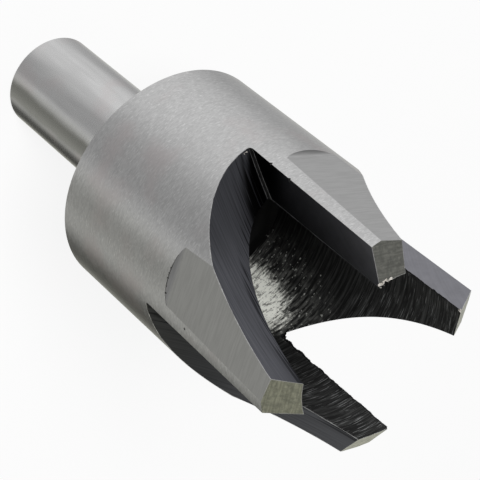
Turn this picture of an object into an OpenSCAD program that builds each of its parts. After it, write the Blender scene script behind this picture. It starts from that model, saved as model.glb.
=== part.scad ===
// Plug cutter, claw pattern: four right-hand cutting prongs round a tapered bore,
// turned, bored and milled from one piece of steel with a plain round shank.
// Millimetres. The origin is the centre of the shank's end, +Z runs to the tips.

/* [Body] */

// Outside diameter of the body
body_d = 22.2; // [21:0.1:24]
// Height of the tip face over the body's back, where it would meet the outside
tip_h = 28.4; // [27:0.1:30]
// Bevel on the back edge of the body
back_bevel = 0.35; // [0.1:0.05:0.8]

/* [Shank] */

// Diameter of the shank
shank_d = 9.5; // [6:0.1:12]
// Length of the shank behind the body
shank_len = 19.6; // [15:0.1:40]
// Bevel on the end of the shank
shank_bevel = 0.4; // [0.1:0.05:1]

/* [Bore] */

// Diameter of the bore at the height of the tips
bore_d = 16.6; // [15.6:0.1:17.4]
// Taper of the bore to each side, narrower towards the back
bore_taper = 1; // [0.2:0.1:1.5]
// Steel between the bore's last full diameter and the body's back
bore_floor = 7.2; // [6:0.1:9]
// Full angle of the drilled point at the bottom
point_angle = 118; // [110:1:140]

/* [Notches] */

// Diameter of the side mill that cuts the notches
mill_d = 72; // [66:0.5:80]
// Bevel on the mill's corner, left as a narrow strip along the notch's root
mill_bevel = 0.2; // [0.1:0.05:0.8]
// Distance of the mill's centre from the tool's axis
mill_out = 35.7; // [35:0.1:36.5]
// Height of the mill's centre over the body's back
mill_h = 38.9; // [38:0.1:40]
// Distance of the cutting wall from the tool's axis, level with the mill's centre
wall_off = 2.4; // [1.8:0.05:2.8]
// Direction of the cutting wall, from the prong's own flat
wall_turn = 13.7; // [10:0.1:17]
// Forward lean of the cutting wall
wall_lean = 1.5; // [0:0.1:3]

/* [Relief flats] */

// Depth of the flat below the outside, at the height of the tips
flat_depth = 0.6; // [0.5:0.02:0.7]
// Tilt of the flat, deeper towards the tips
flat_tilt = 1.1; // [0.2:0.1:1.4]
// Height over the body's back at which the flat's hollow end starts
flat_h = 15.7; // [14.5:0.1:18]
// Radius of the hollow end
flat_end_r = 1.2; // [0.8:0.1:2]
// Angle at which the hollow end breaks away from the flat
flat_end_angle = 20; // [5:1:30]

/* [Tips] */

// Slope of the ground tip faces, falling outwards
tip_slope = 31.7; // [25:0.1:36]
// Turn of the tip's slope behind the cutting edge, for clearance
tip_turn = 6.9; // [0:0.1:12]

/* [Hidden] */

prongs = 4;
pitch = 360 / prongs;
$fn = 160;

body_r = body_d / 2;
shank_r = shank_d / 2;
bore_r = bore_d / 2;
mill_r = mill_d / 2;

// heights over the shank's end
back_z = shank_len;
tip_z = back_z + tip_h;
stock_z = tip_z + body_r * tan(tip_slope);
floor_z = back_z + bore_floor;
flat_z = back_z + flat_h;
mill_z = back_z + mill_h;

// the bore keeps its taper to the end of the turned stock
bore_top_r = bore_r + (stock_z - tip_z) * tan(bore_taper);
bore_low_r = bore_r - (tip_z - floor_z) * tan(bore_taper);
point_len = bore_low_r / tan(point_angle / 2);
flat_x = body_r - flat_depth + (tip_z - flat_z) * tan(flat_tilt);

// how far the cutting tools reach past the steel
over = 10;

// shank and body as they leave the lathe
module turned_stock() {
    rotate_extrude()
        polygon([
            [0, 0],
            [shank_r - shank_bevel, 0],
            [shank_r, shank_bevel],
            [shank_r, back_z],
            [body_r - back_bevel, back_z],
            [body_r, back_z + back_bevel],
            [body_r, stock_z],
            [0, stock_z]
        ]);
}

// tapered bore with the drill's point at its bottom
module bore() {
    rotate_extrude()
        polygon([
            [0, floor_z - point_len],
            [bore_low_r, floor_z],
            [bore_top_r, stock_z],
            [bore_top_r, stock_z + over],
            [0, stock_z + over]
        ]);
}

// the side mill, standing on its flat cutting side
module side_mill() {
    rotate_extrude()
        polygon([
            [0, 0],
            [mill_r - mill_bevel, 0],
            [mill_r, mill_bevel],
            [mill_r, body_d + over],
            [0, body_d + over]
        ]);
}

// one pass of the side mill: its flat side leaves the cutting wall,
// its rim leaves the long hollow slope of the next prong
module mill_pass() {
    rotate([0, 0, wall_turn])
        translate([mill_out, wall_off, mill_z])
            rotate([-90 - wall_lean, 0, 0])
                side_mill();
}

// one relief flat with its hollow back end, tilted about the line where they meet
module flat_pass() {
    translate([flat_x, 0, flat_z])
        rotate([0, -flat_tilt, 0]) {
            translate([0, -body_r, 0])
                cube([over, body_d, stock_z]);
            intersection() {
                translate([flat_end_r * cos(flat_end_angle), -body_r, flat_end_r * sin(flat_end_angle)])
                    rotate([-90, 0, 0])
                        cylinder(r = flat_end_r, h = body_d);
                translate([0, -body_r, -flat_end_r])
                    cube([over, body_d, flat_end_r]);
            }
        }
}

// the grinding of one tip: everything over a plane that falls outwards
module tip_pass() {
    rotate([0, 0, tip_turn])
        translate([body_r, 0, tip_z])
            rotate([0, tip_slope, 0])
                translate([-body_d - over, -body_d, 0])
                    cube([2 * (body_d + over), 2 * body_d, 2 * body_d]);
}

module plug_cutter() {
    color([0.62, 0.62, 0.63])
        difference() {
            turned_stock();
            bore();
            for (i = [0 : prongs - 1])
                rotate([0, 0, i * pitch]) {
                    mill_pass();
                    flat_pass();
                    tip_pass();
                }
        }
}

plug_cutter();
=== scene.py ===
import math

import bmesh
import bpy
from mathutils import Matrix, Vector


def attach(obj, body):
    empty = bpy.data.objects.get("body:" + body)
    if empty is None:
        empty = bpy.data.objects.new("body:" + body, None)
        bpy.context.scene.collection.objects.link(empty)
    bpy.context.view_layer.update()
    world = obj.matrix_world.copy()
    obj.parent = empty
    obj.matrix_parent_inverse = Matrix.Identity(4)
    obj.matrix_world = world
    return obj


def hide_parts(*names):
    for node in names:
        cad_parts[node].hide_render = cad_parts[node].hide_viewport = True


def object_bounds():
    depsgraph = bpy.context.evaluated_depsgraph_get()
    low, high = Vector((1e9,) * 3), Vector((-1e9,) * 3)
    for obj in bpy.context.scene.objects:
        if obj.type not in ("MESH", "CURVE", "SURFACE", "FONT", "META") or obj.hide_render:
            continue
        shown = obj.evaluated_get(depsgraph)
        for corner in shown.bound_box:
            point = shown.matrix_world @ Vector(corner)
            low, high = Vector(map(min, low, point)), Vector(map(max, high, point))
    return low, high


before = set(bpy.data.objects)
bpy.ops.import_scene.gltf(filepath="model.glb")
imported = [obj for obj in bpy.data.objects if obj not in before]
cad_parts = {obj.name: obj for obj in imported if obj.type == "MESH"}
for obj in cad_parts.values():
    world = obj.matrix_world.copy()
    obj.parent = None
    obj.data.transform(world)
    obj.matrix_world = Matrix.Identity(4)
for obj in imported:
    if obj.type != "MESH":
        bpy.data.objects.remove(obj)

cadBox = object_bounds()
mm = 0.001
scene = bpy.context.scene
print("frame loaded")


# Shader sums

class Wire:
    # a socket of a shader tree that takes part in sums
    def __init__(self, paint, socket):
        self.paint = paint
        self.socket = socket

    def sum(self, operation, *others):
        values = dict(enumerate((self,) + others))
        return self.paint.add("ShaderNodeMath", {"operation": operation}, values)

    def swapped(self, operation, other):
        return self.paint.add("ShaderNodeMath", {"operation": operation}, {0: other, 1: self})

    def __add__(self, other):
        return self.sum("ADD", other)

    def __sub__(self, other):
        return self.sum("SUBTRACT", other)

    def __mul__(self, other):
        return self.sum("MULTIPLY", other)

    def __truediv__(self, other):
        return self.sum("DIVIDE", other)

    def __pow__(self, other):
        return self.sum("POWER", other)

    def __radd__(self, other):
        return self.swapped("ADD", other)

    def __rsub__(self, other):
        return self.swapped("SUBTRACT", other)

    def __rmul__(self, other):
        return self.swapped("MULTIPLY", other)

    def step(self, low, high):
        # 0 below low, 1 above high, smooth between
        return self.paint.add("ShaderNodeMapRange",
                              {"interpolation_type": "SMOOTHSTEP"},
                              {"Value": self, "From Min": low, "From Max": high})


class Paint:
    # a material or the world, built node by node
    def __init__(self, owner):
        self.owner = owner
        owner.use_nodes = True
        self.tree = owner.node_tree
        self.tree.nodes.clear()

    def add(self, kind, settings, values, output=0):
        node = self.tree.nodes.new(kind)
        for name, value in settings.items():
            if name == "stops":
                self.fillRamp(node.color_ramp, value)
            else:
                setattr(node, name, value)
        for key, value in values.items():
            if isinstance(value, Wire):
                self.tree.links.new(value.socket, node.inputs[key])
            else:
                node.inputs[key].default_value = value
        return Wire(self, node.outputs[output]) if len(node.outputs) else node

    def fillRamp(self, ramp, stops):
        while len(ramp.elements) < len(stops):
            ramp.elements.new(0.5)
        for element, (place, colour) in zip(ramp.elements, stops):
            element.position = place
            element.color = (*colour, 1)

    def place(self):
        return self.add("ShaderNodeTexCoord", {}, {}, "Object")

    def cut(self):
        # place on a cut surface, in millimetres along and across the tool marks
        return self.add("ShaderNodeUVMap", {"uv_map": "cut"}, {})

    def stretch(self, vector, scale, turn=(0, 0, 0), shift=(0, 0, 0)):
        return self.add("ShaderNodeMapping", {}, {
            "Vector": vector, "Location": shift, "Rotation": turn, "Scale": scale})

    def noise(self, vector, scale=1.0, detail=3.0, rough=0.5):
        return self.add("ShaderNodeTexNoise", {}, {
            "Vector": vector, "Scale": scale, "Detail": detail, "Roughness": rough}, "Fac")

    def split(self, vector, axis):
        return self.add("ShaderNodeSeparateXYZ", {}, {"Vector": vector}, axis)

    def blend(self, share, first, second):
        return self.add("ShaderNodeMix", {"data_type": "RGBA"}, {0: share, 6: first, 7: second}, 2)

    def bump(self, height, distance, strength=1.0):
        return self.add("ShaderNodeBump", {}, {
            "Height": height, "Strength": strength, "Distance": distance})

    def turn(self, vector):
        # radians round Z
        return self.split(vector, 1).sum("ARCTAN2", self.split(vector, 0))

    def finish(self, values):
        shader = self.add("ShaderNodeBsdfPrincipled", {}, values)
        self.add("ShaderNodeOutputMaterial", {}, {"Surface": shader})
        return self.owner


def newPaint(name):
    return Paint(bpy.data.materials.new(name))


def rad(degrees):
    return math.radians(degrees)


def tone(level, tint=(1, 1, 1)):
    # linear colour of a grey as it is seen on a screen, 0 to 255
    value = (level / 255) ** 2.2
    return (value * tint[0], value * tint[1], value * tint[2], 1)


# Camera

cameraSet = {
    "place": (64.67, 104.47, 126.46),       # millimetres from the shank's end
    "aim": (-0.41530, -0.67094, -0.61427),
    "roll": -130.1,
    "lens": 133.9, "sensor": 36,            # millimetres
    "near": 0.01, "far": 20,                # metres between which it sees
}


def setCamera(c):
    aim = Vector(c["aim"]).normalized()
    level = aim.cross(Vector((0, 0, 1))).normalized()
    rise = level.cross(aim)
    roll = rad(c["roll"])
    up = rise * math.cos(roll) + level * math.sin(roll)
    side = aim.cross(up)
    turn = Matrix((side, up, -aim)).transposed().to_4x4()
    data = bpy.data.cameras.new("camera")
    data.lens = c["lens"]
    data.sensor_width = c["sensor"]
    data.clip_start = c["near"]
    data.clip_end = c["far"]
    camera = bpy.data.objects.new("camera", data)
    camera.matrix_world = Matrix.Translation(Vector(c["place"]) * mm) @ turn
    scene.collection.objects.link(camera)
    scene.camera = camera


setCamera(cameraSet)


# Finishes: grain is given per metre on Object coordinates, and per millimetre on the cut map

bodySet = {
    "grey": 190,
    "rough": 0.34,
    "scratch": 0.006 * mm,      # depth of the turning marks
    "fine": (2300, 2300, 8500), "broad": (1200, 1200, 3600),
    "leaning": (1500, 1500, 8000), "lean": 8,       # degrees by which some scratches lean
    "glints": (2600, 2600, 14000), "fresh": 24,     # thin scratches, lighter by this much
    "cloud": 170, "warm": (1.07, 0.97, 0.97),       # faint warm patches
}


def turnedBody(c):
    paint = newPaint("turnedBody")
    place = paint.place()
    fine = paint.noise(paint.stretch(place, c["fine"]), detail=3, rough=0.6)
    broad = paint.noise(paint.stretch(place, c["broad"], shift=(0.3, 0.1, 0.7)), detail=2)
    marks = fine * 0.5 + broad * 0.3
    for lean in (-c["lean"], c["lean"]):
        leaning = paint.stretch(place, (1, 1, 1), turn=(rad(lean), rad(lean), 0))
        crossed = paint.stretch(leaning, c["leaning"], shift=(lean, 2, 5))
        marks = marks + paint.noise(crossed, detail=2) * 0.1
    cloud = paint.noise(place, scale=c["cloud"], detail=4)
    colour = paint.blend(marks.step(0.40, 0.60), tone(c["grey"] - 9), tone(c["grey"] + 7))
    glints = paint.noise(paint.stretch(place, c["glints"], shift=(3, 1, 2)), detail=1)
    fresh = paint.blend(glints.step(0.58, 0.68) * 0.8, colour, tone(c["grey"] + c["fresh"]))
    warm = paint.blend(cloud.step(0.5, 0.72) * 0.6, fresh, tone(c["grey"] - 2, c["warm"]))
    rough = c["rough"] + (cloud - 0.5) * 0.08 + (marks - 0.5) * 0.25
    return paint.finish({"Base Color": warm, "Metallic": 1.0, "Roughness": rough,
                         "Anisotropic": 0.7, "Anisotropic Rotation": 0.25,
                         "Normal": paint.bump(marks, c["scratch"])})


shankSet = {
    "grey": 194,
    "rough": 0.27,
    "scratch": 0.003 * mm,
    "fine": (900, 900, 4500), "streaks": (800, 800, 90),
    "cloud": 260, "warm": (1.05, 0.98, 0.98),
    # painted shade, a darker stripe down one side of the shank: degrees round the shank, how far its edges
    # fade and wander, and its grey
    "dullAndPaintedShade": {"from": 84, "to": 113, "fade": 8, "wander": 14, "grey": 160, "tint": (1, 1, 0.96)},
}


def groundShank(c):
    paint = newPaint("groundShank")
    place = paint.place()
    fine = paint.noise(paint.stretch(place, c["fine"]), detail=3, rough=0.6)
    streaks = paint.noise(paint.stretch(place, c["streaks"]), detail=3)
    cloud = paint.noise(place, scale=c["cloud"], detail=4)
    colour = paint.blend(streaks.step(0.35, 0.65), tone(c["grey"] - 7), tone(c["grey"] + 5))
    warm = paint.blend(cloud.step(0.52, 0.7) * 0.5, colour, tone(c["grey"] - 3, c["warm"]))
    dullAndPaintedShade = c["dullAndPaintedShade"]
    # painted shade: a darker stripe down one side of the shank, its edges wandering with the cloud
    turn = paint.turn(place) * (180 / math.pi) + (cloud - 0.5) * dullAndPaintedShade["wander"]
    leaves = turn.step(dullAndPaintedShade["to"] - dullAndPaintedShade["fade"], dullAndPaintedShade["to"])
    paintedShadeStripe = turn.step(dullAndPaintedShade["from"], dullAndPaintedShade["from"] + dullAndPaintedShade["fade"]) * (1 - leaves)
    colour = paint.blend(paintedShadeStripe, warm, tone(dullAndPaintedShade["grey"], dullAndPaintedShade["tint"]))
    rough = c["rough"] + (cloud - 0.5) * 0.08 + (fine - 0.5) * 0.1
    return paint.finish({"Base Color": colour, "Metallic": 1.0, "Roughness": rough,
                         "Anisotropic": 0.6, "Anisotropic Rotation": 0.25,
                         "Normal": paint.bump(fine, c["scratch"])})


flatSet = {
    "grey": (178, 188),
    "rough": 0.30,
    "scratch": 0.002 * mm,
    "lines": (0.35, 5, 1), "cloud": 260,
}


def groundFlat(c):
    paint = newPaint("groundFlat")
    lines = paint.noise(paint.stretch(paint.cut(), c["lines"]), detail=3, rough=0.6)
    cloud = paint.noise(paint.place(), scale=c["cloud"], detail=3)
    colour = paint.blend(lines.step(0.35, 0.65), tone(c["grey"][0]), tone(c["grey"][1]))
    return paint.finish({"Base Color": colour, "Metallic": 1.0,
                         "Roughness": c["rough"] + (cloud - 0.5) * 0.1,
                         "Normal": paint.bump(lines, c["scratch"])})


tipSet = {
    "grey": (156, 192), "tint": (1.0, 1.0, 0.91),
    "dullAndPaintedShade": 144, "dullTint": (0.98, 1.0, 0.92),
    "rough": 0.36,
    "scratch": 0.006 * mm,
    "lines": (7, 0.4, 1), "mottle": 2.2,
}


def groundTip(c):
    # grinding lines across the tip, with a dull mottle over them
    paint = newPaint("groundTip")
    cut = paint.cut()
    lines = paint.noise(paint.stretch(cut, c["lines"]), detail=4, rough=0.7)
    mottle = paint.noise(cut, scale=c["mottle"], detail=5, rough=0.65)
    dark, pale = [tone(grey, c["tint"]) for grey in c["grey"]]
    colour = paint.blend(lines.step(0.35, 0.65), dark, pale)
    dullAndPaintedShade = paint.blend(mottle.step(0.42, 0.62) * 0.7, colour, tone(c["dullAndPaintedShade"], c["dullTint"]))
    return paint.finish({"Base Color": dullAndPaintedShade, "Metallic": 1.0, "Roughness": c["rough"] + mottle * 0.2,
                         "Normal": paint.bump(lines, c["scratch"])})


slopeSet = {
    # painted shade in the corner by the root: radius and height in millimetres where it ends
    "rootShade": {"radius": 10.6, "height": 33.0, "fall": 0.62},
    "grey": (82, 97),
    "lighterPart": (94, 112), "from": 36, "to": 40,      # lighter higher up, and the heights between which it takes over
    "tint": (0.96, 0.98, 1.10),
    "score": 46, "soft": (30, 96),                  # greys of the scores and of the streaks in the painted shade by the root
    "inner": (8.5, 9.1),                            # the scores by the bore end between these radii
    "rough": 0.34,
    "scratch": 0.005 * mm,
    "lines": (0.12, 7, 1), "coarse": (0.08, 1.6, 1), "scores": (0.10, 5.5, 1),
}


def milledSlope(c):
    # long rim marks, blued by heat, scored darker towards the bore, with painted shade in the corner by the
    # root
    paint = newPaint("milledSlope")
    cut = paint.cut()
    lines = paint.noise(paint.stretch(cut, c["lines"]), detail=4, rough=0.6)
    coarse = paint.noise(paint.stretch(cut, c["coarse"]), detail=2)
    scores = paint.noise(paint.stretch(cut, c["scores"], shift=(4, 2, 0)), detail=3)
    place = paint.place()
    flat = paint.add("ShaderNodeVectorMath", {"operation": "MULTIPLY"},
                     {0: place, 1: (1 / mm, 1 / mm, 0)})
    radius = paint.add("ShaderNodeVectorMath", {"operation": "LENGTH"}, {0: flat}, "Value")
    height = paint.split(place, 2) / mm
    rootShade = c["rootShade"]
    edge = radius + (height - rootShade["height"]) * rootShade["fall"] + (coarse - 0.5) * 0.7
    # painted shade: the corner by the root is darkened, with darker streaks in it
    shadedByRoot = 1 - edge.step(rootShade["radius"] - 0.3, rootShade["radius"] + 0.2)
    inner = (1 - (edge - rootShade["radius"]).step(0.0, 0.7)).sum("MAXIMUM", 1 - radius.step(*c["inner"]))
    tint = c["tint"]
    grain = lines.step(0.3, 0.7)
    plain = paint.blend(grain, tone(c["grey"][0], tint), tone(c["grey"][1], tint))
    lighterPart = paint.blend(grain, tone(c["lighterPart"][0], tint), tone(c["lighterPart"][1], tint))
    colour = paint.blend(height.step(c["from"], c["to"]), plain, lighterPart)
    scored = paint.blend(inner * scores.step(0.50, 0.58) * 0.8, colour, tone(c["score"], tint))
    streaks = paint.blend(scores.step(0.58, 0.66) * 0.7, tone(c["soft"][0]), tone(c["soft"][1], tint))
    return paint.finish({"Base Color": paint.blend(shadedByRoot, scored, streaks), "Metallic": 1.0,
                         "Roughness": c["rough"],
                         "Normal": paint.bump(lines * 0.6 + coarse * 0.4, c["scratch"], 0.8)})


wallSet = {
    "grey": (121, 132), "tint": (0.98, 0.98, 1.08),
    "rootShade": 44, "from": 35.2, "to": 38.2,           # painted shade by the root, and the heights where it fades
    "rough": 0.3,
    "scratch": 0.002 * mm,
    "lines": (0.12, 5, 1), "cloud": 0.8,
}


def milledWall(c):
    paint = newPaint("milledWall")
    cut = paint.cut()
    lines = paint.noise(paint.stretch(cut, c["lines"]), detail=4, rough=0.6)
    cloud = paint.noise(cut, scale=c["cloud"], detail=4)
    marks = lines * 0.5 + cloud * 0.5
    tint = c["tint"]
    colour = paint.blend(marks.step(0.3, 0.7), tone(c["grey"][0], tint), tone(c["grey"][1], tint))
    height = paint.split(paint.place(), 2) / mm
    # painted shade: darker low down, by the root
    shadedByRoot = paint.blend(1 - height.step(c["from"], c["to"]), colour, tone(c["rootShade"], tint))
    return paint.finish({"Base Color": shadedByRoot, "Metallic": 1.0, "Roughness": c["rough"],
                         "Normal": paint.bump(lines, c["scratch"], 0.8)})


boreSet = {
    # a painted highlight, a bright patch on one side of the bore: millimetres round the bore, height, and
    # the reach of each
    "lighterPart": {"run": -21.4, "height": 29.5, "wide": 3.6, "tall": 6.0},
    "edge": (-22.6, -21.4),             # the painted highlight's specks round it stop here, in millimetres round the bore
    "dark": 42, "ring": 84, "fresh": 150,
    # greys of the painted highlight: the arcs and dots round it, and its own dim and bright parts
    "arc": 138, "dot": 236, "pit": 118, "bright": 252,
    "cool": (0.98, 1.0, 0.98), "warm": (1.0, 1.01, 0.95), "pale": (1.0, 1.01, 0.93),
    "mouth": (36, 42),                  # heights between which the new scratches grow
    "rough": 0.42,
    "ridge": 0.02 * mm,
    "ridges": (0.22, 4.5, 1), "scratches": (0.5, 11, 1), "arcs": (0.6, 3.0, 1),
    "specks": (1.5, 2.2, 1), "grit": (2.4, 3.8, 1),
}


def boredSteel(c):
    # rings left by the boring tool, black but for new scratches at the mouth and a painted highlight on one
    # side, with bright arcs and dots round it
    paint = newPaint("boredSteel")
    cut = paint.cut()
    run = paint.split(cut, 0)
    height = paint.split(cut, 1)
    ridges = paint.noise(paint.stretch(cut, c["ridges"]), detail=4, rough=0.7)
    scratches = paint.noise(paint.stretch(cut, c["scratches"], shift=(3, 7, 0)), detail=2)
    specks = paint.noise(paint.stretch(cut, c["specks"]), detail=5, rough=0.75)
    grit = paint.noise(paint.stretch(cut, c["grit"], shift=(1, 9, 0)), detail=2)
    arcs = paint.noise(paint.stretch(cut, c["arcs"], shift=(5, 3, 0)), detail=4, rough=0.6)
    # painted highlight: a bright, less metallic patch on one side of the bore
    highlightSpot = c["lighterPart"]
    side = (run - highlightSpot["run"]) / highlightSpot["wide"]
    rise = (height - highlightSpot["height"]) / highlightSpot["tall"]
    reach = (side * side + rise * rise) ** 0.5
    lighterPart = 1 - (reach + (specks - 0.5) * 1.4 + (ridges - 0.5) * 0.9).step(0.72, 1.0)
    dark = paint.blend(ridges.step(0.42, 0.68), tone(c["dark"]), tone(c["ring"], c["cool"]))
    fresh = scratches.step(0.60, 0.68) * height.step(*c["mouth"])
    scored = paint.blend(fresh, dark, tone(c["fresh"], (0.98, 1.0, 1.0)))
    # painted highlight: warm arcs and bright dots round the patch
    near = (1 - (reach + (specks - 0.5) * 2).step(0.9, 2.1)) * run.step(*c["edge"])
    worn = paint.blend(near * arcs.step(0.44, 0.60) * 0.9, scored, tone(c["arc"], c["warm"]))
    dots = near.step(0.05, 0.35) * grit.step(0.64, 0.68)
    dotted = paint.blend(dots, worn, tone(c["dot"], c["warm"]))
    smooth = (specks * 0.6 + arcs * 0.4).step(0.42, 0.51)
    pale = paint.blend(smooth, tone(c["pit"], (1.0, 1.0, 0.93)), tone(c["bright"], c["pale"]))
    return paint.finish({"Base Color": paint.blend(lighterPart, dotted, pale),
                         "Metallic": 0.65 - lighterPart * 0.55, "Roughness": c["rough"] - fresh * 0.1,
                         "Normal": paint.bump(ridges, c["ridge"])})


def darkSteel(name, level):
    # dark steel where nothing has ever rubbed, as the drilled point; in the notch roots' bevel strip the
    # same near black is painted shade
    paint = newPaint(name)
    rings = paint.noise(paint.stretch(paint.place(), (160, 160, 2400)), detail=3)
    colour = paint.blend(rings.step(0.4, 0.6), tone(level - 14), tone(level))
    return paint.finish({"Base Color": colour, "Metallic": 0.4, "Roughness": 0.7,
                         "Normal": paint.bump(rings, 0.01 * mm)})


def brokenSteel(name, level, tint):
    # torn metal in the nicks, chips and burrs
    paint = newPaint(name)
    grain = paint.noise(paint.place(), scale=5200, detail=4, rough=0.7)
    colour = paint.blend(grain.step(0.35, 0.65), tone(level - 34, tint), tone(level, tint))
    return paint.finish({"Base Color": colour, "Metallic": 0.3, "Roughness": 0.45,
                         "Normal": paint.bump(grain, 0.02 * mm)})


def wornEdge(name, level):
    # the thin bright line where an edge has been rubbed round; along the roots' concave edges the same
    # bright line is a painted highlight
    paint = newPaint(name)
    grain = paint.noise(paint.place(), scale=2600, detail=3, rough=0.7)
    colour = paint.blend(grain.step(0.3, 0.7), tone(level - 38), tone(level))
    return paint.finish({"Base Color": colour, "Metallic": 0.8, "Roughness": 0.38,
                         "Normal": paint.bump(grain, 0.004 * mm)})


finishes = {
    "body": turnedBody(bodySet),
    "shank": groundShank(shankSet),
    "bored": boredSteel(boreSet),
    "drilled": darkSteel("drilledSteel", 30),
    # the notch roots' bevel strip, near black: painted shade in the crease
    "root": darkSteel("rootStrip", 18),
    "slope": milledSlope(slopeSet),
    "wall": milledWall(wallSet),
    "flat": groundFlat(flatSet),
    "tip": groundTip(tipSet),
    "nick": brokenSteel("nickedSteel", 62, (1.0, 0.99, 0.96)),
    "chip": brokenSteel("chippedSteel", 218, (1.04, 0.99, 0.92)),
    "burr": brokenSteel("burrSteel", 44, (0.98, 0.99, 1.03)),
    "worn": wornEdge("wornEdge", 214),
    # painted highlight lines for the roots' concave edges
    "dimWorn": wornEdge("dimWorn", 152),
}
print("finishes made")


# The cutter: lengths in millimetres and angles in degrees, as in the solid

cutter = {
    "bodyRadius": 11.1, "tipHeight": 28.4, "backBevel": 0.35,
    "shankRadius": 4.75, "shankLength": 19.6, "shankBevel": 0.4,
    "boreRadius": 8.3, "boreTaper": 1.0, "boreFloor": 7.2, "pointAngle": 118,
    "millRadius": 36, "millBevel": 0.2, "millOut": 35.7, "millHeight": 38.9,
    "wallOffset": 2.4, "wallTurn": 13.7, "wallLean": 1.5,
    "flatDepth": 0.6, "flatTilt": 1.1, "flatHeight": 15.7, "flatEndRadius": 1.2, "flatEndAngle": 20,
    "tipSlope": 31.7, "tipTurn": 6.9, "prongs": 4,
    "reach": 10,        # how far the tools run past the steel
    "rounds": 360,      # sides of a turned surface
    "millRounds": 900,  # and of the mill
    "endSteps": 20,     # steps of the relief flats' hollow ends
    "hair": 0.001,      # how near a face has to lie to count as on a plane
    "crease": 10,       # from this angle on an edge is shaded sharp
    "middle": 10,       # how far round a prong's middle lies from its flat's
    # the little balls that make the dents: how far they are out of round, and what sets each apart
    "uneven": 0.22, "ripple": 12.9, "shift": 4.1, "spin": 67,
    # small damage: place and radius of each dent
    "nicks": [(10.22, 4.33, 35.20, 0.15), (10.10, 4.37, 37.72, 0.17), (0.54, 11.09, 34.76, 0.07),
              (0.08, 11.1, 34.79, 0.08), (-0.1, 11.1, 34.80, 0.06), (-0.39, 11.09, 34.81, 0.08),
              (-1.13, 11.03, 34.87, 0.07), (-1.76, 10.94, 34.96, 0.09), (1.3, 11.02, 34.76, 0.05),
              (-3.42, 10.56, 37.94, 0.12)],
    "chips": [(7.54, 3.92, 50.24, 0.54), (7.79, 3.40, 50.18, 0.48), (8.00, 2.88, 50.07, 0.36),
              (7.22, 3.98, 50.24, 0.30), (-7.84, -2.80, 50.02, 0.24), (9.75, 4.95, 32.64, 0.06),
              (9.79, 4.88, 32.63, 0.06), (9.83, 4.80, 32.61, 0.06), (9.88, 4.71, 32.59, 0.06)],
    # dents along the inner cutting edges: prong, height and radius
    "edgeNicks": [(3, 39.1, 0.13), (3, 41.6, 0.14), (3, 43.5, 0.12), (3, 45.4, 0.13), (3, 47.9, 0.12),
                  (0, 41.0, 0.09), (0, 44.3, 0.11), (1, 42.0, 0.09), (1, 46.5, 0.10),
                  (2, 38.2, 0.09), (2, 40.6, 0.08), (2, 42.9, 0.07), (2, 45.7, 0.06)],
    "edgeChips": [(3, 49.95, 0.26), (2, 50.1, 0.12)],
}


def latheMesh(name, profile, sides):
    # spins a list of (radius, height) in millimetres round Z
    shape = bmesh.new()
    rings = []
    for radius, height in profile:
        if radius == 0:
            rings.append([shape.verts.new((0, 0, height * mm))])
        else:
            rings.append([shape.verts.new((radius * mm * math.cos(2 * math.pi * k / sides),
                                           radius * mm * math.sin(2 * math.pi * k / sides),
                                           height * mm)) for k in range(sides)])
    for low, high in zip(rings, rings[1:]):
        for k in range(sides):
            n = (k + 1) % sides
            if len(low) == 1:
                shape.faces.new((low[0], high[n], high[k]))
            elif len(high) == 1:
                shape.faces.new((low[k], low[n], high[0]))
            else:
                shape.faces.new((low[k], low[n], high[n], high[k]))
    return meshFrom(shape, name)


def meshFrom(shape, name):
    bmesh.ops.recalc_face_normals(shape, faces=shape.faces)
    mesh = bpy.data.meshes.new(name)
    shape.to_mesh(mesh)
    shape.free()
    return mesh


def prismMesh(name, outline, width):
    # pushes an outline in the XZ plane along Y, half the width to each side
    shape = bmesh.new()
    sides = []
    for y in (-width / 2, width / 2):
        sides.append([shape.verts.new((x * mm, y * mm, z * mm)) for x, z in outline])
    count = len(outline)
    for k in range(count):
        n = (k + 1) % count
        shape.faces.new((sides[0][k], sides[0][n], sides[1][n], sides[1][k]))
    shape.faces.new(sides[0])
    shape.faces.new(sides[1])
    return meshFrom(shape, name)


def toolObject(mesh, names, pick=None, matrix=None):
    # pick says which of the finishes a face leaves on the steel
    for name in names:
        mesh.materials.append(finishes[name])
    if pick:
        for face in mesh.polygons:
            face.material_index = names.index(pick(face))
    if matrix:
        mesh.transform(matrix)
    tool = bpy.data.objects.new(mesh.name, mesh)
    scene.collection.objects.link(tool)
    return tool


def blankTool(c):
    back = c["shankLength"]
    tip = back + c["tipHeight"] + c["bodyRadius"] * math.tan(rad(c["tipSlope"]))
    profile = [(0, 0), (c["shankRadius"] - c["shankBevel"], 0), (c["shankRadius"], c["shankBevel"]),
               (c["shankRadius"], back), (c["bodyRadius"] - c["backBevel"], back),
               (c["bodyRadius"], back + c["backBevel"]), (c["bodyRadius"], tip), (0, tip)]
    behind = (back - c["hair"]) * mm
    return toolObject(latheMesh("blank", profile, c["rounds"]), ["shank", "body"],
                      lambda face: "shank" if face.center.z < behind else "body")


def boreTool(c):
    tip = c["shankLength"] + c["tipHeight"]
    top = tip + c["reach"]
    floor = c["shankLength"] + c["boreFloor"]
    taper = math.tan(rad(c["boreTaper"]))
    topRadius = c["boreRadius"] + c["reach"] * taper
    lowRadius = c["boreRadius"] - (tip - floor) * taper
    point = lowRadius / math.tan(rad(c["pointAngle"] / 2))
    profile = [(0, floor - point), (lowRadius, floor), (topRadius, top), (0, top)]
    return toolObject(latheMesh("boringTool", profile, c["rounds"]), ["bored"])


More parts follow.
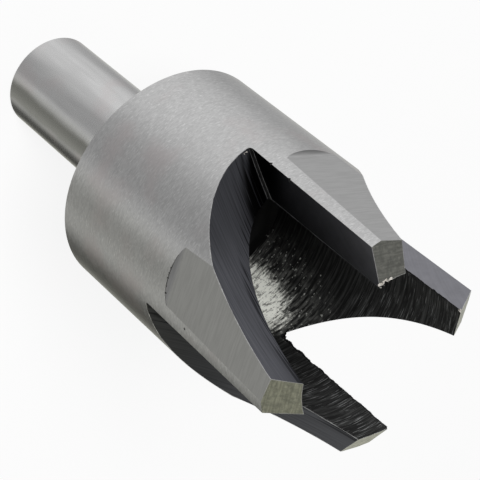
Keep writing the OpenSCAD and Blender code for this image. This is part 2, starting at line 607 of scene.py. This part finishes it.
def millPlace(c):
    # from the mill's own frame, flat side down, to the first notch
    place = Matrix.Translation(Vector((c["millOut"], c["wallOffset"],
                                       c["shankLength"] + c["millHeight"])) * mm)
    return (Matrix.Rotation(rad(c["wallTurn"]), 4, "Z") @ place
            @ Matrix.Rotation(rad(-90 - c["wallLean"]), 4, "X"))


def millTool(c):
    thick = 2 * c["bodyRadius"] + c["reach"]
    profile = [(0, 0), (c["millRadius"] - c["millBevel"], 0), (c["millRadius"], c["millBevel"]),
               (c["millRadius"], thick), (0, thick)]
    corner = (c["millBevel"] + c["hair"]) * mm

    def left(face):
        # its flat side leaves the wall, its bevelled corner the root, its rim the slope
        if face.center.z < c["hair"] * mm:
            return "wall"
        return "root" if face.center.z < corner else "slope"

    mill = latheMesh("sideMill", profile, c["millRounds"])
    return toolObject(mill, ["slope", "wall", "root"], left, millPlace(c))


def flatTool(c):
    # a slab with a hollow lower end, tilted about the line where the two meet
    start = c["shankLength"] + c["flatHeight"]
    rise = c["tipHeight"] - c["flatHeight"]
    depth = c["bodyRadius"] - c["flatDepth"] + rise * math.tan(rad(c["flatTilt"]))
    size = c["flatEndRadius"]
    first = rad(c["flatEndAngle"])
    steps = c["endSteps"]
    turns = [first + (math.pi / 2 - first) * k / steps for k in range(steps + 1)]
    outline = [(size * (math.cos(first) - math.cos(turn)), size * (math.sin(first) - math.sin(turn)))
               for turn in turns]
    top = 2 * c["tipHeight"]
    outline += [(c["reach"], outline[-1][1]), (c["reach"], top), (0, top)]
    place = (Matrix.Translation(Vector((depth, 0, start)) * mm)
             @ Matrix.Rotation(rad(-c["flatTilt"]), 4, "Y"))
    return toolObject(prismMesh("flatCutter", outline, 2 * c["bodyRadius"]), ["flat"], matrix=place)


def tipTool(c):
    size = 2 * c["bodyRadius"] + c["reach"]
    outline = [(-size, 0), (size, 0), (size, size), (-size, size)]
    slope = (Matrix.Rotation(rad(c["tipTurn"]), 4, "Z")
             @ Matrix.Translation(Vector((c["bodyRadius"], 0, c["shankLength"] + c["tipHeight"])) * mm)
             @ Matrix.Rotation(rad(c["tipSlope"]), 4, "Y"))
    return toolObject(prismMesh("tipStone", outline, 2 * size), ["tip"], matrix=slope)


def dentTool(name, finish, dents, c):
    # uneven little balls that bite the nicks and chips out of the edges
    shape = bmesh.new()
    for k, (x, y, z, radius) in enumerate(dents):
        place = (Matrix.Translation(Vector((x, y, z)) * mm)
                 @ Matrix.Rotation(rad(c["spin"] * k), 4, (0.3, 0.5, 0.8)))
        made = bmesh.ops.create_icosphere(shape, subdivisions=2, radius=radius * mm, matrix=place)
        for number, vert in enumerate(made["verts"]):
            wave = math.sin(c["ripple"] * number + c["shift"] * k)
            vert.co += (vert.co - place.translation) * c["uneven"] * wave
    return toolObject(meshFrom(shape, name), [finish])


class Graph:
    # a geometry nodes tree with named inputs
    def __init__(self, name):
        self.tree = bpy.data.node_groups.new(name, "GeometryNodeTree")
        self.tree.interface.new_socket("Geometry", in_out="INPUT", socket_type="NodeSocketGeometry")
        self.tree.interface.new_socket("Geometry", in_out="OUTPUT", socket_type="NodeSocketGeometry")
        self.entry = self.tree.nodes.new("NodeGroupInput")
        self.exit = self.tree.nodes.new("NodeGroupOutput")
        self.names = {}

    def input(self, name, kind, value):
        item = self.tree.interface.new_socket(name, in_out="INPUT", socket_type="NodeSocket" + kind)
        self.names[name] = (item.identifier, value)
        return self.entry.outputs[name]

    def add(self, kind, settings, values, output=0):
        node = self.tree.nodes.new(kind)
        for name, value in settings.items():
            setattr(node, name, value)
        for key, value in values.items():
            if isinstance(value, bpy.types.NodeSocket):
                self.tree.links.new(value, node.inputs[key])
            else:
                node.inputs[key].default_value = value
        return node.outputs[output]

    def run(self, host, result):
        # puts the tree on an object and gives the mesh that comes out
        self.tree.links.new(result, self.exit.inputs[0])
        modifier = host.modifiers.new(self.tree.name, "NODES")
        modifier.node_group = self.tree
        for identifier, value in self.names.values():
            modifier[identifier] = value
        seen = host.evaluated_get(bpy.context.evaluated_depsgraph_get())
        mesh = bpy.data.meshes.new_from_object(seen)
        host.modifiers.remove(modifier)
        return mesh


def innerEdge(c, prong, height):
    # a point of a prong's inner cutting edge, and the way round the bore past it
    fall = c["shankLength"] + c["millHeight"] - height
    tip = c["shankLength"] + c["tipHeight"]
    out = c["boreRadius"] + (height - tip) * math.tan(rad(c["boreTaper"]))
    across = c["wallOffset"] - fall * math.tan(rad(c["wallLean"]))
    turn = Matrix.Rotation(rad(c["wallTurn"] + 360 / c["prongs"] * prong), 4, "Z")
    point = Vector((math.sqrt(out * out - across * across), across, 0))
    way = Vector((-point.y, point.x, 0)).normalized()
    return turn @ (point + Vector((0, 0, height))), turn @ way


def alongEdges(c, dents):
    return [(*innerEdge(c, prong, height)[0], radius) for prong, height, radius in dents]


def machineCutter(c):
    # a turned blank, bored once, and milled and ground at each notch and prong
    blank = blankTool(c)
    nicks = c["nicks"] + alongEdges(c, c["edgeNicks"])
    chips = c["chips"] + alongEdges(c, c["edgeChips"])
    tools = {"Boring Tool": boreTool(c), "Side Mill": millTool(c),
             "Flat Cutter": flatTool(c), "Tip Stone": tipTool(c),
             "Nicks": dentTool("nicks", "nick", nicks, c),
             "Chips": dentTool("chips", "chip", chips, c)}
    graph = Graph("machineCutter")
    count = graph.input("Prongs", "Int", c["prongs"])
    step = graph.add("ShaderNodeMath", {"operation": "DIVIDE"}, {0: 2 * math.pi, 1: count})
    index = graph.add("GeometryNodeInputIndex", {}, {})
    angle = graph.add("ShaderNodeMath", {"operation": "MULTIPLY"}, {0: step, 1: index})
    turn = graph.add("ShaderNodeCombineXYZ", {}, {2: angle})
    spots = graph.add("GeometryNodePoints", {}, {"Count": count})
    cuts = []
    for name, tool in tools.items():
        held = graph.add("GeometryNodeObjectInfo", {"transform_space": "ORIGINAL"},
                         {"Object": graph.input(name, "Object", tool)}, "Geometry")
        if name in ("Boring Tool", "Nicks", "Chips"):
            cuts.append(held)
        else:
            cuts.append(graph.add("GeometryNodeInstanceOnPoints", {},
                                  {"Points": spots, "Instance": held, "Rotation": turn}))
    steel = graph.entry.outputs["Geometry"]
    for cut in cuts:
        steel = graph.add("GeometryNodeMeshBoolean", {"operation": "DIFFERENCE", "solver": "MANIFOLD"},
                          {"Mesh 1": steel, "Mesh 2": cut})
    made = graph.add("GeometryNodeRealizeInstances", {}, {"Geometry": steel})
    # the drilled point under the bore keeps a dull finish of its own
    place = graph.add("GeometryNodeInputPosition", {}, {})
    height = graph.add("ShaderNodeSeparateXYZ", {}, {0: place}, 2)
    floor = graph.input("Bore Floor", "Float", (c["shankLength"] + c["boreFloor"]) * mm)
    back = graph.input("Body Back", "Float", (c["shankLength"] + c["backBevel"]) * mm)
    under = graph.add("ShaderNodeMath", {"operation": "LESS_THAN"}, {0: height, 1: floor})
    over = graph.add("ShaderNodeMath", {"operation": "GREATER_THAN"}, {0: height, 1: back})
    level = graph.add("ShaderNodeVectorMath", {"operation": "MULTIPLY"}, {0: place, 1: (1, 1, 0)})
    out = graph.add("ShaderNodeVectorMath", {"operation": "LENGTH"}, {0: level}, "Value")
    inside = graph.add("ShaderNodeMath", {"operation": "LESS_THAN"},
                       {0: out, 1: graph.input("Bore Radius", "Float", c["boreRadius"] * mm)})
    both = graph.add("ShaderNodeMath", {"operation": "MULTIPLY"}, {0: under, 1: over})
    point = graph.add("ShaderNodeMath", {"operation": "MULTIPLY"}, {0: both, 1: inside})
    done = graph.add("GeometryNodeSetMaterial", {}, {
        "Geometry": made, "Selection": point,
        "Material": graph.input("Drilled Point", "Material", finishes["drilled"])})
    mesh = graph.run(blank, done)
    for tool in list(tools.values()) + [blank]:
        bpy.data.objects.remove(tool)
    mesh.name = "plugCutterSteel"
    return mesh


steelMesh = machineCutter(cutter)
print("machined:", len(steelMesh.polygons), "faces")


def localPlace(point, matrix, turn):
    # a point in millimetres, in the frame of a tool that stands turned by so many degrees
    return matrix @ (Matrix.Rotation(rad(-turn), 4, "Z") @ point) / mm


def millTurn(centre, toMill, c):
    # which pass of the mill left this face
    passes = []
    for k in range(c["prongs"]):
        turn = 360 / c["prongs"] * k
        near = localPlace(centre, toMill, turn)
        miss = min(abs(near.xy.length - c["millRadius"]), abs(near.z))
        passes.append((near.x > 0, miss, turn))
    return min(passes)[2]


def prongTurn(centre, c):
    # which prong this face belongs to
    pitch = 360 / c["prongs"]
    angle = math.degrees(math.atan2(centre.y, centre.x)) - c["middle"]
    return pitch * (round(angle / pitch) % c["prongs"])


def markDirections(mesh, c):
    # writes the "cut" map: millimetres along and across the marks of the tool that made each face
    toMill = millPlace(c).inverted()
    toTip = Matrix.Rotation(rad(-c["tipTurn"]), 4, "Z")
    layer = mesh.uv_layers.new(name="cut")
    names = [m.name for m in mesh.materials]
    for face in mesh.polygons:
        finish = names[face.material_index]
        centre = face.center
        if finish in ("milledWall", "milledSlope"):
            turn = millTurn(centre, toMill, c)
        elif finish in ("groundFlat", "groundTip"):
            turn = prongTurn(centre, c)
        for loop in face.loop_indices:
            point = mesh.vertices[mesh.loops[loop].vertex_index].co
            if finish in ("milledWall", "milledSlope"):
                near = localPlace(point, toMill, turn)
                run = math.atan2(near.x, -near.y) * c["millRadius"]
                across = near.z if near.z > 10 * c["hair"] else near.xy.length
                layer.data[loop].uv = (run, across)
            elif finish == "groundFlat":
                near = localPlace(point, Matrix(), turn)
                layer.data[loop].uv = (near.y, near.z)
            elif finish == "groundTip":
                near = localPlace(point, toTip, turn)
                layer.data[loop].uv = (near.x, near.y)
            else:
                angle = math.atan2(point.y, point.x)
                middle = math.atan2(centre.y, centre.x)
                angle += round((middle - angle) / (2 * math.pi)) * 2 * math.pi
                layer.data[loop].uv = (angle * c["boreRadius"], point.z / mm)


markDirections(steelMesh, cutter)
steelMesh.shade_smooth()
steelMesh.set_sharp_from_angle(angle=rad(cutter["crease"]))
body = bpy.data.objects.new("plugCutterSteel", steelMesh)
scene.collection.objects.link(body)
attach(body, "root")
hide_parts("plug_cutter")
print("steel in place")


# Worn edges and burrs

shine = {
    # for each sort of line: its finish, the gap between its points in millimetres, how deep it is sunk
    # in its own thicknesses, from where to where round the axis it runs, in degrees, and the pairs of
    # finishes that it parts, with its thickness there in millimetres
    "wornEdges": {"finish": "worn", "seed": 3, "gap": 0.15, "sink": 0.9, "turn": (0, 360), "pairs": {
        ("groundFlat", "groundTip"): 0.024, ("groundTip", "milledSlope"): 0.030,
        ("groundTip", "milledWall"): 0.030, ("boredSteel", "groundTip"): 0.026,
        ("milledSlope", "turnedBody"): 0.075, ("groundFlat", "milledSlope"): 0.055}},
    # painted highlights: thin bright lines along both concave edges of each root's bevel strip
    "rootLines": {"finish": "dimWorn", "seed": 8, "gap": 0.2, "sink": -0.2, "turn": (0, 360), "pairs": {
        ("milledSlope", "rootStrip"): 0.024, ("milledWall", "rootStrip"): 0.024}},
    "archLine": {"finish": "nick", "seed": 6, "gap": 0.12, "sink": 0.2, "turn": (80, 130), "pairs": {
        ("groundFlat", "turnedBody"): 0.045}},
    "slopeLine": {"finish": "worn", "seed": 4, "gap": 0.2, "sink": 0.3, "turn": (150, 200), "pairs": {
        ("boredSteel", "milledSlope"): 0.032}},
}


wear = {
    "sharp": 25,        # degrees between two faces from which their edge can be worn
    "patches": 900.0,   # how often the line changes in thickness, per metre
    "thin": 0.35,       # its thinnest share
}


def edgePairs(mesh):
    # which two faces meet at each edge
    meets = {}
    for face in mesh.polygons:
        for key in face.edge_keys:
            meets.setdefault(key, []).append(face)
    return meets


def markEdges(mesh, pairs, turn):
    # a copy of the steel with the wear written on its edges and corners
    marked = mesh.copy()
    names = [m.name for m in marked.materials]
    meets = edgePairs(marked)
    corner = marked.attributes.new("wear", "FLOAT", "POINT")
    edge = marked.attributes.new("worn", "BOOLEAN", "EDGE")
    inward = marked.attributes.new("inward", "FLOAT_VECTOR", "POINT")
    for vert in marked.vertices:
        inward.data[vert.index].vector = -vert.normal
    for line in marked.edges:
        faces = meets[line.key]
        if len(faces) != 2 or faces[0].normal.angle(faces[1].normal, 0) < rad(wear["sharp"]):
            continue
        key = tuple(sorted(names[face.material_index] for face in faces))
        start = marked.vertices[line.vertices[0]].co
        if key in pairs and turn[0] <= math.degrees(math.atan2(start.y, start.x)) % 360 <= turn[1]:
            edge.data[line.index].value = True
            for end in line.vertices:
                corner.data[end].value = max(corner.data[end].value, pairs[key] * mm)
    return marked


def edgeLines(name, c):
    host = bpy.data.objects.new(name, markEdges(steelMesh, c["pairs"], c["turn"]))
    scene.collection.objects.link(host)
    graph = Graph(name)
    worn = graph.add("GeometryNodeInputNamedAttribute", {"data_type": "BOOLEAN"}, {"Name": "worn"})
    width = graph.add("GeometryNodeInputNamedAttribute", {"data_type": "FLOAT"}, {"Name": "wear"})
    inward = graph.add("GeometryNodeInputNamedAttribute", {"data_type": "FLOAT_VECTOR"}, {"Name": "inward"})
    lines = graph.add("GeometryNodeMeshToCurve", {}, {
        "Mesh": graph.entry.outputs["Geometry"], "Selection": worn})
    even = graph.add("GeometryNodeResampleCurve", {"mode": "LENGTH"}, {
        "Curve": lines, "Length": graph.input("Point Gap", "Float", c["gap"] * mm)})
    patch = graph.add("ShaderNodeTexNoise", {"noise_dimensions": "4D"}, {
        "W": graph.input("Seed", "Float", float(c["seed"])), "Scale": wear["patches"], "Detail": 3.0})
    thick = graph.add("ShaderNodeMapRange", {}, {
        "Value": patch, "From Min": 0.35, "From Max": 0.65, "To Min": wear["thin"], "To Max": 1.0})
    size = graph.add("ShaderNodeMath", {"operation": "MULTIPLY"}, {0: thick, 1: width})
    sink = graph.input("Sink", "Float", c["sink"])
    sunk = graph.add("ShaderNodeMath", {"operation": "MULTIPLY"}, {0: size, 1: sink})
    back = graph.add("ShaderNodeVectorMath", {"operation": "SCALE"}, {0: inward, "Scale": sunk})
    placed = graph.add("GeometryNodeSetPosition", {}, {"Geometry": even, "Offset": back})
    ring = graph.add("GeometryNodeCurvePrimitiveCircle", {}, {"Resolution": 6, "Radius": 1.0})
    tube = graph.add("GeometryNodeCurveToMesh", {}, {
        "Curve": placed, "Profile Curve": ring, "Scale": size, "Fill Caps": True})
    made = graph.add("GeometryNodeRealizeInstances", {}, {"Geometry": tube})
    done = graph.add("GeometryNodeSetMaterial", {}, {
        "Geometry": made, "Material": graph.input("Finish", "Material", finishes[c["finish"]])})
    mesh = graph.run(host, done)
    bpy.data.objects.remove(host)
    return mesh


def keepInside(mesh, c):
    # nothing stands out past the turned outside or the ground tips
    for vert in mesh.vertices:
        out = vert.co.xy.length
        if out > c["bodyRadius"] * mm:
            vert.co.xy = vert.co.xy * (c["bodyRadius"] * mm / out)
        vert.co.z = min(vert.co.z, cadBox[1][2])


def placePiece(name, mesh):
    mesh.name = name
    piece = bpy.data.objects.new(name, mesh)
    scene.collection.objects.link(piece)
    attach(piece, "root")
    print(name + ":", len(mesh.polygons), "faces")


for name, c in shine.items():
    made = edgeLines(name, c)
    keepInside(made, cutter)
    made.shade_smooth()
    placePiece(name, made)


burr = {
    "start": 35.4, "end": 49.9, "gap": 0.07,    # heights, and the step between points
    "root": 0.07, "hold": 0.06, "lip": 0.012,   # thickness, length in the steel, and corner's height
    "seed": 5, "grain": 1300.0,                 # how finely it is torn, per metre
    "least": 0.35, "most": 1.25,                # shares of its reach that are left
    # height above the start and how far the burr stands out, for each prong that has one
    "reach": {0: [(0, 0.05), (15, 0.03)], 1: [(0, 0.05), (15, 0.03)],
              2: [(0, 0.80), (0.5, 0.62), (1.0, 0.36), (2.0, 0.24), (8, 0.16), (15, 0.08)],
              3: [(0, 0.12), (6, 0.24), (12, 0.20), (14, 0.06)]},
}


def alongStops(stops, place):
    for (low, first), (high, second) in zip(stops, stops[1:]):
        if place <= high:
            return first + (second - first) * (place - low) / (high - low)
    return stops[-1][1]


def burrBlank(c, b):
    # a thin wedge along each inner edge, its free corner marked to be torn
    shape = bmesh.new()
    stands = []
    count = int((b["end"] - b["start"]) / b["gap"])
    for prong, stops in b["reach"].items():
        rows = []
        for k in range(count + 1):
            height = b["start"] + (b["end"] - b["start"]) * k / count
            point, way = innerEdge(c, prong, height)
            out = Vector((point.x, point.y, 0)).normalized()
            base = point - way * b["hold"]
            rows.append([shape.verts.new(base * mm), shape.verts.new((base + out * b["root"]) * mm),
                         shape.verts.new((point + out * b["lip"]) * mm)])
            stands += [Vector(), Vector(), way * alongStops(stops, height - b["start"]) * mm]
        for low, high in zip(rows, rows[1:]):
            for k in range(3):
                n = (k + 1) % 3
                shape.faces.new((low[k], low[n], high[n], high[k]))
        shape.faces.new(rows[0])
        shape.faces.new(rows[-1])
    mesh = meshFrom(shape, "burrs")
    torn = mesh.attributes.new("stand", "FLOAT_VECTOR", "POINT")
    for k, stand in enumerate(stands):
        torn.data[k].vector = stand
    return mesh


def tearBurrs(c, b):
    host = bpy.data.objects.new("burrs", burrBlank(c, b))
    scene.collection.objects.link(host)
    graph = Graph("tearBurrs")
    stand = graph.add("GeometryNodeInputNamedAttribute", {"data_type": "FLOAT_VECTOR"}, {"Name": "stand"})
    seed = graph.input("Seed", "Float", float(b["seed"]))
    ragged = graph.add("ShaderNodeTexNoise", {"noise_dimensions": "4D"}, {
        "W": seed, "Scale": b["grain"], "Detail": 4.0, "Roughness": 0.7})
    share = graph.add("ShaderNodeMapRange", {}, {
        "Value": ragged, "From Min": 0.38, "From Max": 0.62, "To Min": b["least"], "To Max": b["most"]})
    push = graph.add("ShaderNodeVectorMath", {"operation": "SCALE"}, {0: stand, "Scale": share})
    torn = graph.add("GeometryNodeSetPosition", {}, {
        "Geometry": graph.entry.outputs["Geometry"], "Offset": push})
    made = graph.add("GeometryNodeRealizeInstances", {}, {"Geometry": torn})
    done = graph.add("GeometryNodeSetMaterial", {}, {
        "Geometry": made, "Material": graph.input("Finish", "Material", finishes["burr"])})
    mesh = graph.run(host, done)
    bpy.data.objects.remove(host)
    return mesh


placePiece("burrs", tearBurrs(cutter, burr))


# Floor and light

studio = {
    "floorSize": 4.0,               # metres
    "paper": 242,                   # grey of the floor
    "shadow": 0.15,                 # how much of the floor's shadow the camera keeps
    "soft": 0.40,                   # light that comes from all round
    "lamp": {"place": (0.378, 0.378, 0.595), "aim": (0, 0, 0.03), "size": 0.30, "watts": 5.0},
    # what the steel mirrors below the horizon: direction in degrees round the axis, level and warmth
    "low": [(-180, 0.06, 0.1), (-160, 0.07, 0.1), (-148, 0.45, 0.10), (-132, 0.95, 0.12),
            (-110, 0.90, 0.08), (-86, 0.62), (-70, 0.48), (-38, 0.92), (-14, 1.02), (12, 0.98),
            (30, 0.85), (46, 0.62), (58, 0.55), (82, 0.46), (90, 0.51), (98, 0.77), (106, 0.82, 0.04),
            (118, 0.34, 0.06), (140, 0.44, 0.06), (154, 0.74, 0.05), (165, 0.48, 0.06), (175, 0.08, 0.08)],
    # and above it
    "high": [(-180, 0.50, 0.15), (-134, 0.70, 0.15), (-90, 0.40), (-60, 0.15), (-20, 0.42), (10, 0.28),
             (40, 0.08), (100, 0.08), (124, 0.45), (144, 0.14), (152, 0.16, 0.1), (166, 0.72, 0.34)],
    "horizon": (-0.35, 0.50),       # heights between which the two meet
}


def ringStops(levels):
    # degrees round the axis to a ramp's own scale, closed where the ring meets
    stops = []
    for turn, level, *warm in levels:
        stops.append(((turn + 180) / 360, (level, level, level * (1 - sum(warm)))))
    return stops + [(1.0, stops[0][1])]


def seenPlainly(paint):
    # 1 for what the camera sees, also through clear things, and 1 for what a glossy surface sees
    camera, clear, glossy = [paint.add("ShaderNodeLightPath", {}, {}, ray)
                             for ray in ("Is Camera Ray", "Is Transmission Ray", "Is Glossy Ray")]
    return camera.sum("MAXIMUM", clear), glossy


def floorPaint(c):
    # plain pale paper, lifted to white for the eye so that only a faint shadow is left
    paint = newPaint("studioFloor")
    seen, glossy = seenPlainly(paint)
    paper = paint.add("ShaderNodeBsdfDiffuse", {}, {"Color": tone(c["paper"])})
    white = paint.add("ShaderNodeEmission", {}, {"Color": (1, 1, 1, 1), "Strength": 1.0})
    share = seen.sum("MAXIMUM", glossy) * (1 - c["shadow"])
    both = paint.add("ShaderNodeMixShader", {}, {0: share, 1: paper, 2: white})
    paint.add("ShaderNodeOutputMaterial", {}, {"Surface": both})
    return paint.owner


def paintSky(c):
    # white to the camera, a tent of light and dark cloths to the steel
    world = bpy.data.worlds.new("studio")
    scene.world = world
    paint = Paint(world)
    seen, glossy = seenPlainly(paint)
    way = paint.add("ShaderNodeTexCoord", {}, {}, "Generated")
    turn = paint.turn(way) / (2 * math.pi) + 0.5
    low = paint.add("ShaderNodeValToRGB", {"stops": ringStops(c["low"])}, {0: turn})
    high = paint.add("ShaderNodeValToRGB", {"stops": ringStops(c["high"])}, {0: turn})
    tent = paint.blend(paint.split(way, 2).step(*c["horizon"]), low, high)
    light = paint.blend(glossy, (c["soft"], c["soft"], c["soft"], 1), tent)
    colour = paint.blend(seen, light, (1, 1, 1, 1))
    back = paint.add("ShaderNodeBackground", {}, {"Color": colour, "Strength": 1.0})
    paint.add("ShaderNodeOutputWorld", {}, {"Surface": back})


def setStudio(c):
    bpy.ops.mesh.primitive_plane_add(size=c["floorSize"])
    floor = bpy.context.object
    floor.name = "floor"
    floor.data.materials.append(floorPaint(c))
    floor.visible_glossy = False    # the steel mirrors the tent instead
    paintSky(c)
    lamp = c["lamp"]
    data = bpy.data.lights.new("softLamp", "AREA")
    data.shape = "DISK"
    data.size = lamp["size"]
    data.energy = lamp["watts"]
    light = bpy.data.objects.new("softLamp", data)
    light.location = lamp["place"]
    aim = Vector(lamp["aim"]) - light.location
    light.rotation_euler = aim.to_track_quat("-Z", "Y").to_euler()
    light.visible_glossy = False
    scene.collection.objects.link(light)


setStudio(studio)
scene.view_settings.view_transform = "Standard"
